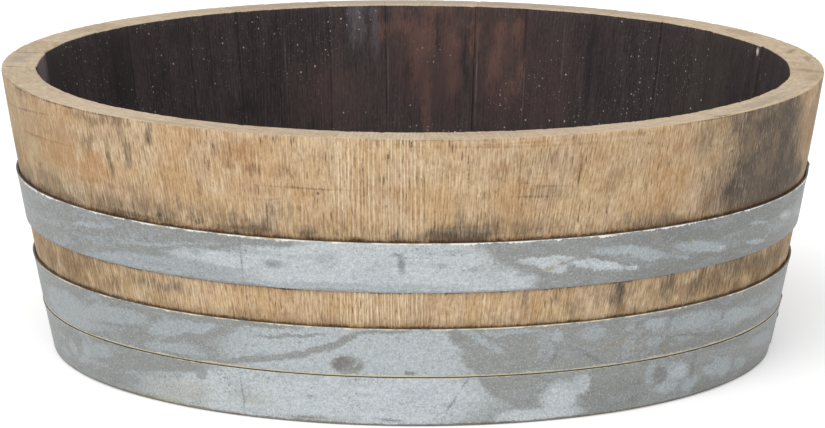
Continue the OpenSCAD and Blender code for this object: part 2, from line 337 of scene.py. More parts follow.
# What the weather and the work have left on the staves: a kind of unevenness, a tint and its marks
stave_marks = [
    # Golden, pink and green casts, and a duller one that is partly painted shade
    # A duller tan on the left and right of the upper band: partly the wood's own colour, partly
    # painted shade where the barrel turns away from the light
    ("patchy", "#A5835F", [
        (206, 42, 170, 60, 0.5), (232, 50, 70, 40, 0.2), (303, 44, 90, 44, 0.25),
    ]),
    ("patchy", "#BE8A50", [
        (213, 42, 56, 26, 0.5), (221, 46, 24, 20, 0.6), (236, 30, 22, 40, 0.25),
        (214, 10, 50, 9, 0.4), (197, 58, 30, 10, 0.4), (218, 30, 14, 8, 0.5),
        (306, 40, 34, 34, 0.45), (343, 40, 40, 20, 0.35), (295, 30, 20, 24, 0.25),
        (250, 40, 30, 20, 0.25), (239, 12, 16, 12, 0.3), (20, 40, 40, 26, 0.4),
        (58, 30, 50, 30, 0.35), (97, 50, 44, 24, 0.5), (140, 24, 50, 20, 0.4),
        (168, 50, 36, 26, 0.4),
    ]),
    ("patchy", "#B08C74", [
        (228, 64, 50, 14, 0.5), (213, 26, 30, 6, 0.4), (281, 60, 40, 16, 0.3),
        (266, 50, 30, 24, 0.25), (40, 60, 50, 16, 0.4), (118, 34, 44, 22, 0.35),
    ]),
    ("patchy", "#C3B38E", [
        (204, 48, 22, 12, 0.5), (210, 61, 30, 12, 0.5), (190, 30, 60, 40, 0.3),
    ]),
    # Richer and darker brown
    ("patchy", "#AC7A45", [
        (247.3, 18, 20, 16, 0.8), (281.6, 24, 10, 5, 0.6), (285, 40, 6, 6, 0.5),
        (259, 66, 20, 8, 0.4), (266, 43, 10, 4, 0.3), (301, 148, 5, 4, 0.6),
        (305.4, 4, 10, 4, 0.4), (315, 62, 14, 10, 0.35),
    ]),
    ("patchy", "#7D5A3F", [
        (245.5, 29, 5, 4, 0.6), (248.9, 29, 6, 6, 0.7), (222, 5, 40, 4, 0.5),
        (275.5, 22, 8, 4, 0.35), (205.6, 60, 8, 1.8, 0.6, 6),
    ]),
    # Darker brown: dirt in bands along the hoops, and in the band between them on the left and
    # right partly dirt and partly painted shade where the barrel turns away from the light
    ("patchy", "#846A4A", [
        (212, 138, 140, 22, 0.95), (328, 138, 160, 22, 1.05), (270, 152.5, 4000, 9, 0.5),
        (270, 82.5, 4000, 17, 0.45), (205, 84, 150, 26, 0.4),
    ]),
    # Grey of the weather
    ("weathered", "#62564A", [
        (327, 14, 66, 32, 1, -4), (329, 58, 74, 44, 1.15, -4), (315, 60, 16, 24, 0.5),
        (312.5, 16, 12, 16, 0.45), (350, 40, 40, 60, 0.4), (104, 26, 26, 22, 0.6),
    ]),
    ("patchy", "#6B5642", [
        (221, 27, 13, 9, 0.7), (225, 38, 4, 14, 0.9), (228.8, 27, 5, 17, 0.7),
        (233, 10, 5, 10, 0.8), (228, 3, 24, 4, 0.7), (225, 20, 5, 12, 0.6), (221, 6, 14, 8, 0.5),
        (228, 12, 5, 8, 0.5), (232, 22, 3, 8, 0.4), (223, 58, 40, 3, 0.3), (231, 60, 12, 10, 0.3),
        (235, 52, 3, 14, 0.4), (240.5, 50, 2.5, 12, 0.4), (237, 66, 3, 10, 0.5),
        (253, 30, 10, 10, 0.25), (34, 18, 4, 14, 0.7), (36.5, 30, 5, 16, 0.6),
        (75, 12, 5, 10, 0.7), (78, 24, 4, 12, 0.6), (128, 8, 26, 5, 0.5), (150, 34, 5, 18, 0.7),
        (153, 22, 4, 12, 0.6),
    ]),
    ("patchy", "#6C6154", [
        (200, 79, 50, 8, 0.7), (215, 76, 60, 9, 0.6), (234, 75, 14, 9, 0.6),
        (240, 73, 12, 9, 0.6), (247, 74, 26, 10, 0.8), (255, 77, 16, 6, 0.6),
        (205, 72, 70, 8, 0.6, 2), (222, 73, 40, 9, 0.6), (231, 71, 30, 8, 0.5),
        (243, 68, 34, 9, 0.5), (251, 64, 18, 12, 0.4), (192, 62, 30, 14, 0.5),
        (277, 77, 34, 9, 0.8), (276.5, 66, 6, 14, 0.8), (281, 70, 8, 9, 0.6),
        (286, 73, 22, 8, 0.5), (300.5, 72, 6, 12, 0.6), (306, 79, 34, 6, 0.7),
        (203, 4, 60, 4, 0.4, 2), (287, 24, 34, 14, 0.3), (288, 46, 32, 8, 0.25, -2),
        (297.5, 34, 8, 22, 0.3), (232.5, 133, 38, 5, 0.8, -2), (300, 137, 10, 16, 0.8),
        (297, 133, 6, 12, 0.6), (286, 133, 4, 12, 0.6), (309, 132, 8, 12, 0.6),
        (315, 138, 14, 7, 0.6), (334, 134, 34, 7, 0.6, -3), (293, 141, 12, 5, 0.5),
        (290.7, 130, 4, 9, 0.6), (322, 130, 30, 9, 0.6), (15, 77, 50, 8, 0.7),
        (45, 76, 40, 9, 0.6), (70, 78, 50, 7, 0.7), (96, 75, 30, 10, 0.7), (128, 77, 60, 8, 0.6),
        (160, 76, 46, 9, 0.7), (60, 134, 40, 8, 0.6), (120, 132, 30, 10, 0.6),
    ]),
    ("weathered", "#4B433C", [
        (319.5, 69, 15, 13, 0.65), (333, 22, 24, 22, 0.6, -4), (334, 60, 26, 26, 0.6, -4),
        (325.5, 14, 14, 10, 0.6), (340, 68, 26, 12, 0.6, -8), (322, 40, 12, 20, 0.4),
        (318, 10, 8, 8, 0.4), (316.5, 44, 4, 30, 0.3),
    ]),
    ("patchy", "#9A8468", [
        (322.5, 28, 9, 16, 0.55), (329.5, 34, 7, 20, 0.45), (334.5, 46, 8, 12, 0.4),
        (326, 52, 12, 8, 0.4), (343, 24, 14, 20, 0.45), (324, 6, 16, 5, 0.4),
    ]),
    ("patchy", "#3F3934", [
        (318.5, 64, 9, 15, 0.55), (337.5, 56, 9, 12, 0.5), (328, 20, 7, 14, 0.4),
        (333, 40, 6, 12, 0.4), (342, 66, 10, 8, 0.5), (331.7, 72, 8, 6, 0.8),
        (336, 10, 12, 10, 0.35), (300.4, 130, 4, 9, 0.9), (276, 80, 30, 5, 0.8),
        (272, 78, 9, 6, 0.8), (268, 79, 6, 5, 0.7), (306, 82, 30, 4, 0.6), (200, 83, 70, 5, 0.7),
        (247, 80, 40, 4, 0.5),
    ]),
    # Dirt that has gathered on the hoops, and painted shade in thin dark lines where the wood
    # meets them, with a painted shadow under the upper one
    ("crusted_and_shaded", "#7A5233", [(270, 82.6, 4000, 3.4, 0.8), (270, 152.4, 4000, 2, 0.6)]),
    ("crusted_and_shaded", "#4E3D2E", [
        (229, 79, 44, 2.6, 0.8), (233.5, 76, 5, 3, 0.8), (240, 76.5, 6, 3, 0.8),
        (247, 77, 24, 3.4, 0.8), (255.5, 78, 7, 3, 0.8), (212, 78.5, 60, 2.6, 0.6),
        (30, 79, 50, 2.6, 0.7), (85, 78.5, 60, 3, 0.7), (140, 79, 60, 2.6, 0.7),
    ]),
    # Thin dark lines along the hoops' edges: dirt, and painted shade where the wood meets the
    # steel; the line under the upper hoop is a painted shadow
    ("crusted_and_shaded", "#3D3127", [
        (270, 82.9, 4000, 1.9, 0.9), (270, 152.6, 4000, 1.1, 0.8), (270, 123.6, 4000, 1, 0.8),
    ]),
    # Scratches across the grain, cracks along it, nail holes, a thin broken line of painted shade
    # just under the rim's outer edge, and the rubbed edge of the rim
    ("scratched_and_shaded", "#9A7040", [
        (284, 7.5, 90, 1.3, 0.5, -1), (283, 5, 70, 0.9, 0.4, 1), (300, 4, 40, 2.2, 0.5),
    ]),
    ("scratched_and_shaded", "#4A3826", [
        (302.4, 13, 1.1, 1.1, 1), (318, 30.5, 1.8, 1.5, 1), (330, 41, 1.3, 1.2, 1),
        (257.6, 45, 1.3, 1.3, 1), (231, 34.5, 1.3, 1.5, 0.9), (266.6, 54, 0.9, 0.9, 0.9),
        (271.5, 22, 0.9, 26, 1), (269.9, 6, 0.9, 8, 1), (266.9, 14, 0.8, 7, 0.9),
        (277.3, 30, 1, 16, 1, 2), (263.6, 30, 0.6, 18, 0.7, 1), (274.1, 20, 0.8, 9, 0.8, 3),
        (281.4, 66, 0.8, 10, 0.8), (259.2, 20, 0.8, 12, 0.7), (250.4, 66, 0.8, 10, 0.7),
        (273, 66, 0.9, 12, 0.8), (235.6, 50, 0.8, 14, 0.6), (303.4, 20, 0.8, 12, 0.7, -6),
        (288.8, 40.6, 14, 1.1, 0.5, -3), (286, 48.2, 21, 1.2, 0.55, -2), (285, 37, 7, 1, 0.4),
        (300.2, 42.5, 9, 0.6, 0.5, -3), (255.5, 41.7, 58, 0.9, 0.5), (251, 52.5, 13, 0.9, 0.4, 4),
        (203, 17, 66, 1, 0.5, 5), (208, 35, 60, 1, 0.4, 2), (292.4, 32, 0.9, 18, 0.8, -6),
        (291.2, 22, 0.7, 10, 0.6, -8), (293.8, 14, 0.7, 10, 0.6, -8), (284.1, 30, 0.6, 24, 0.5),
        (274, 62, 0.6, 12, 0.5), (297, 60, 0.7, 12, 0.5), (308, 30, 0.7, 16, 0.4),
        # A thin broken line of painted shade just under the rim's outer edge
        (214.5, 1.2, 118, 0.9, 0.8), (314, 1.2, 50, 0.9, 0.7), (271, 1.6, 60, 0.7, 0.5),
        (276, 71, 26, 0.9, 0.3, 3), (283, 77, 24, 0.9, 0.3, -2), (289, 74, 20, 0.7, 0.4, 1),
        (28, 26, 0.8, 20, 0.7), (64, 40, 0.7, 16, 0.6), (90, 14, 0.8, 12, 0.7),
        (131, 52, 0.8, 18, 0.7, 2), (55, 48, 1.2, 1.2, 1), (108, 60, 1.3, 1.3, 1),
        (145, 14, 1.1, 1.1, 1), (84, 36, 40, 0.9, 0.5), (80, 44, 26, 0.9, 0.4, 1),
    ]),
    ("crusted_and_shaded", "#CDB99C", [(262, 0, 180, 1.8, 0.8)]),
]


def weathered_oak(name, first, last):
    """Oak that has stood in the weather, planed along the grain: tan, with open pores that hold
    dirt, and matt, because its oil has gone. It has the marks that reach the staves between two
    angles."""
    made, tree, shader = new_material(name)
    place = add(tree, "UVMap", uv_map="Place")
    tone = add(tree, "Attribute", attribute_name="tone").outputs["Fac"]
    striped = add(tree, "Attribute", attribute_name="striped").outputs["Fac"]
    rings, fibres, flecks, pores = oak_figure(tree)
    clouds = drawn_out(tree, place, 0.026, 0.050, detail=4, roughness=0.6)
    mottle = drawn_out(tree, place, 0.008, 0.013, detail=3, roughness=0.6)
    # The light wood of each ring is a thin line
    early = add(tree, "MapRange", {"Value": rings, "From Min": 0.55, "From Max": 1.0,
                                   "To Min": -0.30, "To Max": 0.70})
    rings_shown = add(tree, "Math", {0: early, 1: striped}, operation="MULTIPLY")
    figure = weigh(tree, [(rings_shown, 0.26), (fibres, 0.32), (flecks, 0.14), (clouds, 0.45),
                          (mottle, 0.26), (tone, 0.12)])
    wood = add(tree, "ValToRGB", {0: figure}, stops=[
        (0.38, "#8C6E4C"), (0.52, "#BE9C76"), (0.65, "#D4B690"), (0.78, "#E6CDA9"),
        (0.92, "#F2E2C5"),
    ])
    wood = tinted(tree, wood, "#7A5C3E", pores, most=0.35)
    # Wood is never of one hue
    hue = drawn_out(tree, place, 0.030, 0.040, detail=4, roughness=0.65, start=(5, 5, 0))
    wood = tinted(tree, wood, "#C2985F", hue, 0.48, 0.68, 0.42)
    wood = tinted(tree, wood, "#BE9F8A", hue, 0.50, 0.32, 0.35)
    # Short cracks along the grain, in crowds, drawn wide enough to show
    cracks = drawn_out(tree, place, 0.0016, 0.015, detail=2, distortion=0.3)
    crowd = add(tree, "TexNoise", {"Vector": place, "Scale": 1 / 0.03, "Detail": 2})
    cracks = add(tree, "MapRange", {"Value": weigh(tree, [(cracks, 1), (crowd, 0.35)]),
                                    "From Min": 0.84, "From Max": 0.90, "To Max": 0.75})
    wood = tinted(tree, wood, "#5E4932", cracks)
    uneven = {
        "patchy": ragged(tree, place, (0.0022, 0.014), (0.006, 0.012), holes=0.8),
        "weathered": ragged(tree, place, (0.0022, 0.014), (0.009, 0.014), holes=0.35),
        "crusted_and_shaded": ragged(tree, place, (0.0026, 0.0020), (0.006, 0.0036), holes=0.8),
        "scratched_and_shaded": ragged(tree, place, (0.0016, 0.0016), (0.0006, 0.0012), holes=0.9),
    }
    # Whatever stains the wood goes deepest into the grain's low lines
    taken = add(tree, "MapRange", {
        "Value": weigh(tree, [(fibres, 0.6), (flecks, 0.25), (mottle, 0.15)]),
        "From Min": 0.75, "From Max": 0.20, "To Min": 0.50, "To Max": 1.35,
    })
    middle, half = (first + last) / 2, (last - first) / 2
    for kind, tint, marks in stave_marks:
        near = [
            mark for mark in marks
            if math.radians(abs(mark[0] - middle) - half) * unrolled_radius < 2 * mark[2] / 1000
        ]
        if near:
            share = stains(tree, uneven[kind], near, soft=0.5, taken=taken)
            wood = tinted(tree, wood, tint, share)
    # The grain's low lines hold dirt, also where the wood is stained
    lows = weigh(tree, [(fibres, 0.8), (flecks, 0.2)])
    wood = tinted(tree, wood, "#4E3B29", lows, 0.55, 0.10, 0.35)
    relief = weigh(tree, [(fibres, 0.6), (rings_shown, 0.8), (flecks, 0.3), (pores, -1.0),
                          (cracks, -1.5)])
    plug(tree, shader, {
        "Base Color": wood, "Roughness": 0.72, "Specular IOR Level": 0.35,
        "Normal": add(tree, "Bump", {"Height": relief, "Strength": 0.6, "Distance": 0.0003}),
    })
    return made


# Each side of the barrel is a material of its own, as all the marks in one are too many for Cycles
barrel_sides = [(0, 181), (181, 236), (236, 271), (271, 306), (306, 360)]
side_oaks = [
    weathered_oak(f"weathered_oak_{number}", *side)
    for number, side in enumerate(barrel_sides, start=1)
]

# The saw's cut through the end grain: pale, flat and dull, with the growth rings and rays as fine
# streaks through the thickness, and some of the saw's own smudges. Its marks are placed by
# millimetres inwards from the edge
sawn_oak, tree, shader = new_material("sawn_oak_end_grain")
place = add(tree, "UVMap", uv_map="Place")
tone = add(tree, "Attribute", attribute_name="tone").outputs["Fac"]
rings, fibres, flecks, _ = oak_figure(tree)
smudges = drawn_out(tree, place, 0.014, 0.005, detail=4, roughness=0.7)
figure = weigh(tree, [(rings, 0.12), (fibres, 0.14), (flecks, 0.22), (smudges, 0.70),
                      (tone, 0.14)])
wood = add(tree, "ValToRGB", {0: figure}, stops=[
    (0.38, "#A38A6B"), (0.62, "#C6B094"), (0.86, "#DDCAAF"),
])
patchy = ragged(tree, place, (0.0016, 0.006), (0.003, 0.003), holes=0.7)
for tint, marks in (
    ("#96795A", [
        (11.7, 14, 14, 4, 0.8, 30), (2, 20, 6, 12, 0.7, 20), (355, 12, 8, 14, 0.6, 30),
        (30, 12, 26, 10, 0.4), (349, 8, 20, 8, 0.4), (315.4, 3, 12, 3, 0.6),
        (5, 9, 16, 4, 0.6, 10), (280, 20, 40, 5, 0.3), (235, 6, 40, 5, 0.3),
    ]),
    ("#A3968B", [(90, 12, 260, 18, 0.55)]),
    ("#9C9282", [(177, 12, 30, 12, 0.6), (328, 12, 60, 8, 0.5), (150, 14, 40, 10, 0.3)]),
    ("#4B3D30", [
        (172.4, 12, 0.8, 14, 0.8), (184.4, 9, 1, 10, 1, 4), (315.4, 2, 8, 1.2, 0.7),
        (200, 1, 60, 1, 0.5), (193, 9, 1.2, 1.2, 0.9),
    ]),
):
    wood = tinted(tree, wood, tint, stains(tree, patchy, marks, datum=rim_radius))
plug(tree, shader, {
    "Base Color": wood, "Roughness": 0.8,
    "Normal": add(tree, "Bump", {"Height": fibres, "Strength": 0.5, "Distance": 0.0002}),
})


def wine_stained_oak(name, stained):
    """Oak that red wine has stood in: nearly black with purple, in the grain's own streaks, with
    crystals of tartrate that have dried on it. Its stains are like the marks of the outside."""
    made, tree, shader = new_material(name)
    place = add(tree, "UVMap", uv_map="Place")
    tone = add(tree, "Attribute", attribute_name="tone").outputs["Fac"]
    rings, fibres, flecks, _ = oak_figure(tree)
    clouds = drawn_out(tree, place, 0.012, 0.07, detail=3)
    figure = weigh(tree, [(rings, 0.10), (fibres, 0.42), (flecks, 0.22), (clouds, 0.5),
                          (tone, 0.10)])
    wood = add(tree, "ValToRGB", {0: figure}, stops=[
        (0.35, "#241E1E"), (0.58, "#362E2E"), (0.78, "#463C3B"), (1.0, "#5A4C49"),
    ])
    uneven = {
        "patchy": ragged(tree, place, (0.0020, 0.012), (0.012, 0.045), holes=0.6),
        "drawn": ragged(tree, place, (0.0014, 0.006), (0.0010, 0.003), holes=0.7),
    }
    # The fibres take the wine up unequally
    taken = add(tree, "MapRange", {"Value": weigh(tree, [(fibres, 0.65), (flecks, 0.35)]),
                                   "To Min": 0.25, "To Max": 1.45})
    for kind, tint, marks in stained:
        share = stains(tree, uneven[kind], marks, soft=0.6, taken=taken)
        wood = tinted(tree, wood, tint, share)
    crowd = add(tree, "TexNoise", {"Vector": place, "Scale": 1 / 0.06, "Detail": 2})
    # Few crystals hold where the wine ran last, and many where it dried
    crowd = weigh(tree, [
        (crowd, 1), (stains(tree, place, [(84, 44, 74, 50, 1)]), -0.18),
        (stains(tree, place, [(158, 48, 66, 60, 1), (46, 50, 50, 60, 0.6)]), 0.09),
    ])
    # The largest are 2, 1.5 and 0.9 mm across
    for spacing, largest, rarity, glint in (
        (0.014, 0.07, 1.60, 1.0), (0.0056, 0.13, 1.62, 0.9), (0.0027, 0.17, 1.50, 0.35),
    ):
        cells = add(tree, "TexVoronoi", {"Vector": place, "Scale": 1 / spacing},
                    voronoi_dimensions="2D")
        chance = add(tree, "SeparateColor", {0: cells.outputs["Color"]})
        dried = add(tree, "Math", {0: weigh(tree, [(chance.outputs[0], 1), (crowd, 1.5)]),
                                   1: rarity}, operation="GREATER_THAN")
        size = add(tree, "MapRange", {"Value": chance.outputs[1], "To Min": largest / 3,
                                      "To Max": largest})
        share = add(tree, "Math", {0: cells.outputs["Distance"], 1: size}, operation="LESS_THAN")
        bright = add(tree, "MapRange", {"Value": chance.outputs[2], "From Min": 0.3,
                                        "To Min": 0.2 * glint, "To Max": glint})
        for factor in (dried, bright):
            share = add(tree, "Math", {0: share, 1: factor}, operation="MULTIPLY")
        wood = tinted(tree, wood, "#C9C3BD", share)
    plug(tree, shader, {
        "Base Color": wood, "Roughness": 0.7, "Specular IOR Level": 0.3,
        "Normal": add(tree, "Bump", {"Height": fibres, "Strength": 0.6, "Distance": 0.0003}),
    })
    return made


wine_oak = wine_stained_oak("wine_stained_oak", (
    ("patchy", "#5C4641", [
        (88, 34, 36, 44, 0.9), (74.5, 44, 30, 44, 0.85), (80, 10, 70, 12, 0.7),
        (104, 80, 40, 30, 0.5), (66, 60, 30, 60, 0.4),
    ]),
    ("patchy", "#7C584D", [
        (91.5, 12, 12, 12, 0.7), (88.5, 34, 14, 24, 0.8), (89.5, 58, 9, 22, 0.8),
        (87.6, 86, 5, 30, 0.9), (83.4, 46, 8, 30, 0.8), (86.5, 8, 14, 5, 0.6),
        (79.6, 26, 7, 16, 0.7), (75.2, 30, 6, 20, 0.7), (72.4, 26, 6, 10, 0.6),
        (76.2, 58, 6, 20, 0.6), (73.6, 74, 5, 12, 0.7, 35), (71.4, 60, 4, 14, 0.7, 20),
        (80.5, 12, 8, 6, 0.6), (95, 20, 7, 12, 0.6),
    ]),
    ("patchy", "#4A3634", [(86, 75, 40, 40, 0.6), (73, 90, 40, 26, 0.5)]),
    ("patchy", "#6C676A", [(99.5, 12, 9, 22, 0.9), (96.5, 22, 5, 16, 0.6)]),
    ("patchy", "#8A7B7F", [(178, 14, 30, 34, 0.9)]),
    ("patchy", "#211C1D", [
        (120, 83, 18, 11, 0.9), (147, 50, 14, 50, 0.5), (59, 50, 5, 50, 0.7),
        (81, 48, 3, 24, 0.8), (85.6, 34, 2.5, 16, 0.7), (90.8, 66, 5, 10, 0.6),
    ]),
    ("patchy", "#4A443A", [(33, 50, 30, 60, 0.5)]),
    ("drawn", "#1E1A1A", [(71, 22, 0.8, 26, 1), (104, 60, 0.7, 50, 0.8)]),
    ("drawn", "#77686A", [
        (79.1, 64, 0.9, 44, 0.8), (70.7, 76, 0.8, 28, 0.7), (94.2, 60, 0.8, 30, 0.5),
        (64, 40, 0.7, 30, 0.5), (112, 50, 0.7, 30, 0.4), (45, 40, 0.8, 40, 0.5),
    ]),
    ("drawn", "#E2DACA", [(18.5, 6, 2.6, 3.4, 1.4)]),
))

# Clean oak that never saw the weather, in the joints and under the foot. The wine has crept into
# a joint from inside
raw_oak, tree, shader = new_material("planed_oak_joint")
place = add(tree, "UVMap", uv_map="Place")
_, fibres, _, _ = oak_figure(tree)
wood = add(tree, "ValToRGB", {0: fibres}, stops=[(0.1, "#A98860"), (0.9, "#CDB088")])
depth = add(tree, "SeparateXYZ", {0: ragged(tree, place, (0.002, 0.01), (0.006, 0))}).outputs["X"]
wood = tinted(tree, wood, "#3A302F", depth, -0.010, -0.015)
plug(tree, shader, {"Base Color": wood, "Roughness": 0.75})

OUTSIDE, SAWN, INSIDE, JOINT = range(4)
# Edges that turn by more than this are shaded as edges
sharp_turn = math.radians(35)


def placed(form, name):
    """The object of a form, in the scene."""
    mesh = bpy.data.meshes.new(name)
    form.to_mesh(mesh)
    form.free()
    made = bpy.data.objects.new(name, mesh)
    bpy.context.scene.collection.objects.link(made)
    return made


def finish_piece(form, name, materials, nodes):
    """The piece of a form: shaded smooth but for its sharp edges, riding on the planter."""
    for face in form.faces:
        face.smooth = True
    for edge in form.edges:
        edge.smooth = len(edge.link_faces) == 2 and edge.calc_face_angle() < sharp_turn
    piece = placed(form, name)
    for made in materials:
        piece.data.materials.append(made)
    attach(piece, "root")
    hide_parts(*nodes)
    return piece


# How much some staves' rings stand out in stripes, and how far some grain leans, as the staves
# were riven
stripes_shown = {20: 0.3, 21: 1.0, 22: 0.3, 23: 0.5}
leans = {16: 0.06, 17: 0.09, 18: 0.10, 19: 0.06, 21: 0.0, 23: -0.10, 24: -0.12, 25: -0.06}
# How far across and along the grain one stave's figure lies from the last one's
figure_shift = (0.31, 0.77)
# The wine has stained the inside down to the edge of the head
stain_foot = howel_top - 0.02
draw = random.Random(30)
stave_names = sorted(name for name in frame["nodes"] if name.startswith("stave_"))
for number, name in enumerate(stave_names, start=1):
    middle, half_turn, thickness = stave_place(name)
    form = stave_form(half_turn, thickness, seed=7.3 * number)
    place = form.loops.layers.uv.new("Place")
    grain = form.loops.layers.uv.new("Grain")
    tone = form.verts.layers.float.new("tone")
    striped = form.verts.layers.float.new("striped")
    stave_tone = draw.random()
    stripes = stripes_shown.get(number, draw.uniform(0.1, 0.5))
    lean = leans.get(number, draw.uniform(-0.04, 0.04))
    form.normal_update()
    for face in form.faces:
        centre = face.calc_center_median()
        facing = face.normal.dot(Vector((centre.x, centre.y, 0)).normalized())
        if face.normal.z > 0.35 and centre.z > rim_height - torn_band:
            face.material_index = SAWN
        elif len(face.verts) > joint_corners:
            face.material_index = JOINT
        elif facing > 0.1:
            face.material_index = OUTSIDE
        elif facing < -0.1 and centre.z > stain_foot:
            face.material_index = INSIDE
        else:
            face.material_index = JOINT
        for loop in face.loops:
            x, y, z = loop.vert.co
            turn, radius = math.atan2(y, x), math.hypot(x, y)
            along = radius if face.material_index == SAWN else z
            if face.material_index == JOINT:
                loop[place].uv = (radius - wall(z), z)
            else:
                loop[place].uv = ((middle + turn) * unrolled_radius, along)
            loop[grain].uv = (turn * radius + lean * along + figure_shift[0] * number,
                              along + figure_shift[1] * number)
    for vert in form.verts:
        vert[tone] = stave_tone
        vert[striped] = stripes
    bmesh.ops.rotate(form, verts=form.verts, matrix=Matrix.Rotation(middle, 3, "Z"))
    side_oak = next(oak for oak, (first, last) in zip(side_oaks, barrel_sides)
                    if first <= math.degrees(middle) < last)
    finish_piece(form, "oak_" + name, [side_oak, sawn_oak, wine_oak, raw_oak], [name])


# The head: seven oak boards, dowelled edge to edge and cut round, that make the bottom. Their thin
# edge is sprung into the croze of the staves, and five holes are drilled through them to drain.
head_thickness = 0.022
head_edge = 0.0046
head_bevel = 0.018
head_play = 0.0002
head_radius = howel(croze_z) + croze_depth - head_play
drain_radius = 0.006
board_break = 0.0006
board_shift = (0.43, 0.61)
board_lean = 0.02
# Edges that turn by more than this are square ones, and get broken
square_turn = 1.2

# The upper face is as dark as the staves inside, from the dregs of the wine. The under face is a
# plain grey brown and quite matt, as oak is where it stays damp and out of the sun
dregs_oak = wine_stained_oak("dregs_stained_oak", [])
under_oak, tree, shader = new_material("damp_oak_underside")
rings, fibres, flecks, _ = oak_figure(tree)
figure = weigh(tree, [(rings, 0.2), (fibres, 0.4), (flecks, 0.4)])
plug(tree, shader, {
    "Base Color": add(tree, "ValToRGB", {0: figure}, stops=[
        (0.2, "#6E5842"), (0.5, "#8C7152"), (0.8, "#A58963"),
    ]),
    "Roughness": 0.8,
    "Normal": add(tree, "Bump", {"Height": fibres, "Strength": 0.5, "Distance": 0.0003}),
})


def square_edges(form):
    """The edges of a form where it turns sharply."""
    return [e for e in form.edges
            if len(e.link_faces) == 2 and e.calc_face_angle() > square_turn]


def turned(form, profile, steps):
    """The vertices of a solid, made by turning a line of radii and heights about Z."""
    before = set(form.verts)
    line = [form.verts.new((r, 0, z)) for r, z in profile]
    edges = [form.edges.new(pair) for pair in zip(line, line[1:])]
    bmesh.ops.spin(form, geom=line + edges, cent=(0, 0, 0), axis=(0, 0, 1), angle=math.tau,
                   steps=steps, use_merge=True)
    bmesh.ops.remove_doubles(form, verts=[v for v in form.verts if v not in before], dist=1e-6)
    return [v for v in form.verts if v not in before]


board_names = sorted(name for name in frame["nodes"] if name.startswith("head_board_"))
drains = [mount for mount in frame["record"]["mounts"] if mount["name"].startswith("drain_")]
for number, name in enumerate(board_names, start=1):
    low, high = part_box(name)
    form = bmesh.new()
    half = head_thickness / 2
    turned(form, [
        (r, croze_z + z) for r, z in (
            (0, -half), (head_radius - head_bevel, -half), (head_radius, -head_edge / 2),
            (head_radius, head_edge / 2), (head_radius - head_bevel, half), (0, half),
        )
    ], steps=180)
    for y, side in ((low.y, 1), (high.y, -1)):
        if abs(y) < head_radius - 0.001:
            cut = bmesh.ops.bisect_plane(
                form, geom=[*form.verts, *form.edges, *form.faces], dist=1e-7,
                plane_co=(0, y, 0), plane_no=(0, side, 0), clear_inner=True,
            )
            seam = [e for e in cut["geom_cut"] if isinstance(e, bmesh.types.BMEdge)]
            bmesh.ops.edgenet_fill(form, edges=seam)
    bmesh.ops.recalc_face_normals(form, faces=form.faces)
    break_edges(form, square_edges(form), board_break)
    grain = form.loops.layers.uv.new("Grain")
    place = form.loops.layers.uv.new("Place")
    form.normal_update()
    for face in form.faces:
        face.material_index = 0 if face.normal.z > 0.2 else 1
        for loop in face.loops:
            x, y, z = loop.vert.co
            loop[grain].uv = (y + board_lean * x + board_shift[0] * number,
                              x + board_shift[1] * number)
            loop[place].uv = (x, y)
    board = finish_piece(form, "oak_" + name, [dregs_oak, under_oak], [name])
    for drain in drains:
        x, y, _ = drain["pos_m"]
        if low.y < y < high.y:
            bit_form = bmesh.new()
            bmesh.ops.create_cone(bit_form, cap_ends=True, segments=48, radius1=drain_radius,
                                  radius2=drain_radius, depth=2 * head_thickness)
            bmesh.ops.translate(bit_form, verts=bit_form.verts, vec=(x, y, croze_z))
            bit = placed(bit_form, "drill")
            hole = board.modifiers.new("drain", "BOOLEAN")
            hole.object = bit
            hole.operation = "DIFFERENCE"
            hole.solver = "EXACT"
            drilled = bpy.data.meshes.new_from_object(
                board.evaluated_get(bpy.context.evaluated_depsgraph_get()))
            board.modifiers.clear()
            board.data = drilled
            bpy.data.objects.remove(bit)


# The dowels: twelve straight pins, driven half into each of two boards, so that they line up the
# head and hold it together while it is cut round. They are dry planed oak: pale, smooth and even,
# with short flecks along them.
dowel_oak, tree, shader = new_material("planed_oak_dowel")
fleck = add(tree, "TexNoise", {
    "Vector": add(tree, "Mapping", {"Vector": add(tree, "TexCoord").outputs["Object"],
                                    "Scale": (1 / 0.001, 1 / 0.012, 1 / 0.001)}),
    "Scale": 1, "Detail": 2,
})
wood = add(tree, "ValToRGB", {0: fleck}, stops=[(0.3, "#C49A6C"), (0.7, "#DDBB91")])
plug(tree, shader, {"Base Color": wood, "Roughness": 0.6})
dowels = frame["nodes"]["head_dowels"]
dowels.data.materials.clear()
dowels.data.materials.append(dowel_oak)


# The hoops: strips of galvanised mild steel, bent round the staves, lapped and riveted, and driven
# down the taper until they grip. Their upper edge stands off the wood by a hair.
hoop_thickness = 0.0019
lap_length = 0.060
lap_climb = 0.018
lap_butt = 0.0015
lap_gap = 0.00015
hoop_lip = 0.0006
hoop_break = 0.0003
hoop_dent = 0.0003
dent_pace = (22, 22, 30)
seat_steps = 12
# The lip begins at this share of the strip's width
lip_start = 0.75


def smooth(share):
    """A share from 0 to 1 that starts and stops gently."""
    return share * share * (3 - 2 * share)


